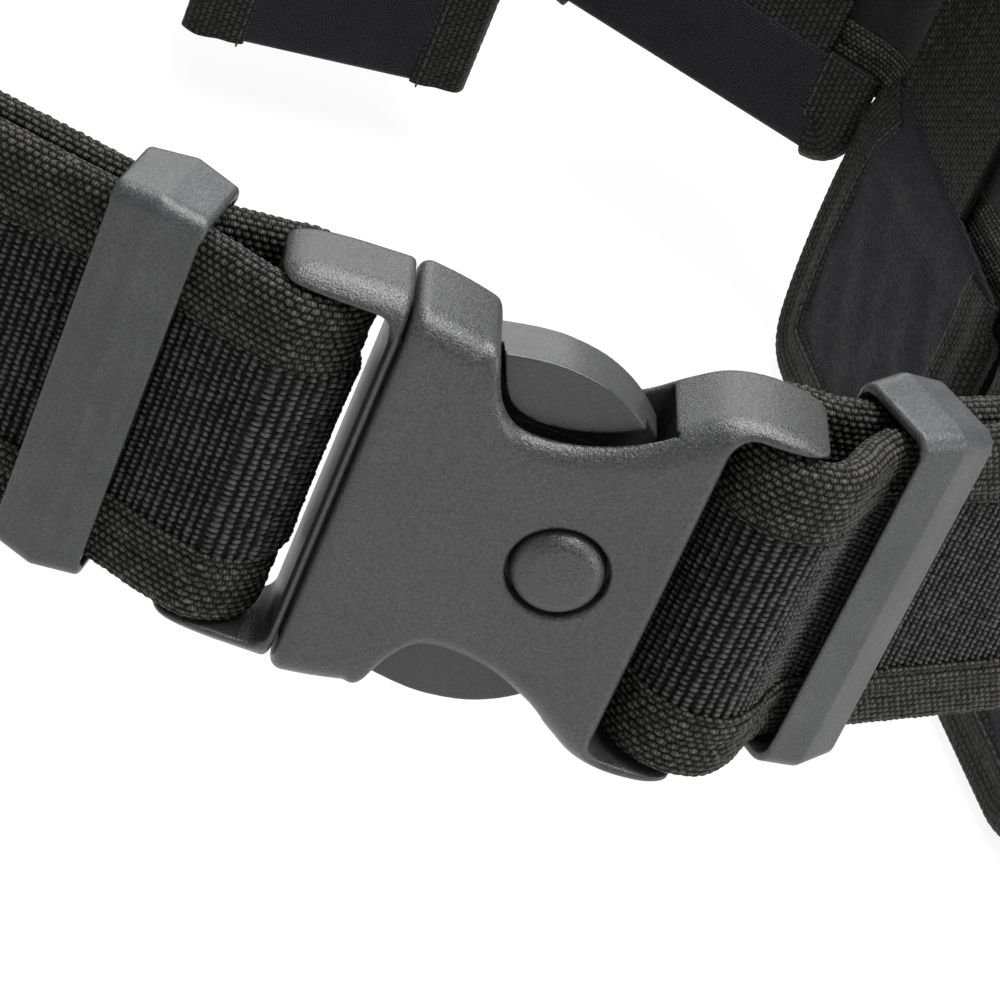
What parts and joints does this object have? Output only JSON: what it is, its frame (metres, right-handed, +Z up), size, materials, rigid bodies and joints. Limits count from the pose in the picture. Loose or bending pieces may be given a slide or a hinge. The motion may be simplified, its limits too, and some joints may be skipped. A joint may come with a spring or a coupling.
{
  "type": "utility belt",
  "caption": "Stiff webbing duty belt closed by a three-point side-release buckle, with slide keepers and flap pouches threaded on it.",
  "frame": {"origin": "the middle of the footprint, on the surface that the pouches stand on", "axes": "+X from the left hip to the right hip as seen from in front, past the buckle; +Y from the buckle to the wearer's back; +Z up"},
  "size_m": [0.3534, 0.3296, 0.1187],
  "materials": {
    "buckle_plastic": "fine pebbled mould grain",
    "keeper_plastic": "smooth satin",
    "webbing": "coarse ribbed webbing",
    "edge_tape": "basket-woven binding tape",
    "loop_lining": "brushed loop pile",
    "stiffener": "plain sheet",
    "hook_tape": "hook pile",
    "pouch_cloth": "dense oxford weave",
    "snap_metal": "black enamel"
  },
  "bodies": {
    "belt": {"buckle_socket": "buckle_plastic", "belt_core": "stiffener", "belt_cover": "webbing", "belt_lining": "loop_lining", "belt_top_tape": "edge_tape", "belt_bottom_tape": "edge_tape", "belt_hook_strip": "hook_tape", "wide_pouch_loop": "pouch_cloth", "wide_pouch_body": "pouch_cloth", "wide_pouch_snap_stud": "snap_metal"},
    "plug": {"buckle_plug": "buckle_plastic", "strap_core": "stiffener", "strap_cover": "webbing", "strap_lining": "loop_lining", "strap_top_tape": "edge_tape", "strap_bottom_tape": "edge_tape", "strap_hook_strip": "hook_tape"},
    "upper_prong": {"upper_prong": "buckle_plastic"},
    "lower_prong": {"lower_prong": "buckle_plastic"},
    "centre_button": {"centre_button": "buckle_plastic"},
    "keeper_left": {"keeper_left": "keeper_plastic"},
    "keeper_right": {"keeper_right": "keeper_plastic"},
    "key_pouch": {"key_pouch_loop": "pouch_cloth", "key_pouch_body": "pouch_cloth", "key_pouch_snap_stud": "snap_metal"},
    "key_pouch_flap": {"key_pouch_flap": "pouch_cloth", "key_pouch_snap_cap": "snap_metal"},
    "wide_pouch_flap": {"wide_pouch_flap": "pouch_cloth", "wide_pouch_snap_cap": "snap_metal"},
    "tool_holster": {"tool_holster_loop": "pouch_cloth", "tool_holster_body": "pouch_cloth", "tool_holster_snap_stud": "snap_metal"},
    "tool_holster_flap": {"tool_holster_flap": "pouch_cloth", "tool_holster_snap_cap": "snap_metal"},
    "side_pouch": {"side_pouch_loop": "pouch_cloth", "side_pouch_body": "pouch_cloth", "side_pouch_snap_stud": "snap_metal"},
    "side_pouch_flap": {"side_pouch_flap": "pouch_cloth", "side_pouch_snap_cap": "snap_metal"},
    "tall_pouch": {"tall_pouch_loop": "pouch_cloth", "tall_pouch_body": "pouch_cloth", "tall_pouch_snap_stud": "snap_metal"},
    "tall_pouch_flap": {"tall_pouch_flap": "pouch_cloth", "tall_pouch_snap_cap": "snap_metal"}
  },
  "joints": [
    {"name": "buckle_release", "type": "slide", "parent": "belt", "child": "plug", "axis": [-1, 0, 0], "range_m": [0, 0.045], "deforming": ["upper_prong", "lower_prong", "centre_button"]},
    {"name": "upper_prong_squeeze", "type": "hinge", "parent": "plug", "child": "upper_prong", "pos_m": [-0.00771, -0.15542, 0.1025], "axis": [0, 1, 0], "range_deg": [0, 15], "stiffness_Nm_per_rad": 0.8},
    {"name": "lower_prong_squeeze", "type": "hinge", "parent": "plug", "child": "lower_prong", "pos_m": [-0.00771, -0.15542, 0.0695], "axis": [0, -1, 0], "range_deg": [0, 15], "stiffness_Nm_per_rad": 0.8},
    {"name": "centre_button_press", "type": "hinge", "parent": "plug", "child": "centre_button", "pos_m": [-0.00771, -0.15812, 0.086], "axis": [0, 0, 1], "range_deg": [0, 5.5], "stiffness_Nm_per_rad": 0.6},
    {"name": "keeper_left_slide", "type": "slide", "parent": "plug", "child": "keeper_left", "axis": [-0.9511, 0.309, 0], "range_m": [0, 0.02]},
    {"name": "keeper_right_slide", "type": "slide", "parent": "belt", "child": "keeper_right", "axis": [0.8339, 0.5519, 0], "range_m": [0, 0.02]},
    {"name": "key_pouch_slide", "type": "slide", "parent": "belt", "child": "key_pouch", "axis": [-0.9673, -0.2538, 0], "range_m": [-0.008, 0.04]},
    {"name": "key_pouch_flap_hinge", "type": "hinge", "parent": "key_pouch", "child": "key_pouch_flap", "pos_m": [-0.01328, 0.11811, 0.1187], "axis": [0.9673, 0.2538, 0], "range_deg": [0, 150]},
    {"name": "wide_pouch_flap_hinge", "type": "hinge", "parent": "belt", "child": "wide_pouch_flap", "pos_m": [0.06088, 0.11735, 0.1187], "axis": [0.8599, -0.5105, 0], "range_deg": [0, 150]},
    {"name": "tool_holster_slide", "type": "slide", "parent": "belt", "child": "tool_holster", "axis": [-0.2426, 0.9701, 0], "range_m": [-0.006, 0.002]},
    {"name": "tool_holster_flap_hinge", "type": "hinge", "parent": "tool_holster", "child": "tool_holster_flap", "pos_m": [0.1118, 0.049, 0.1187], "axis": [0.2426, -0.9701, 0], "range_deg": [0, 150]},
    {"name": "side_pouch_slide", "type": "slide", "parent": "belt", "child": "side_pouch", "axis": [-0.2426, 0.9701, 0], "range_m": [-0.008, 0.006]},
    {"name": "side_pouch_flap_hinge", "type": "hinge", "parent": "side_pouch", "child": "side_pouch_flap", "pos_m": [0.13291, -0.0354, 0.1187], "axis": [0.2426, -0.9701, 0], "range_deg": [0, 150]},
    {"name": "tall_pouch_slide", "type": "slide", "parent": "belt", "child": "tall_pouch", "axis": [0, -1, 0], "range_m": [-0.012, 0.012]},
    {"name": "tall_pouch_flap_hinge", "type": "hinge", "parent": "tall_pouch", "child": "tall_pouch_flap", "pos_m": [-0.13361, -0.00742, 0.1187], "axis": [0, 1, 0], "range_deg": [0, 150]}
  ]
}
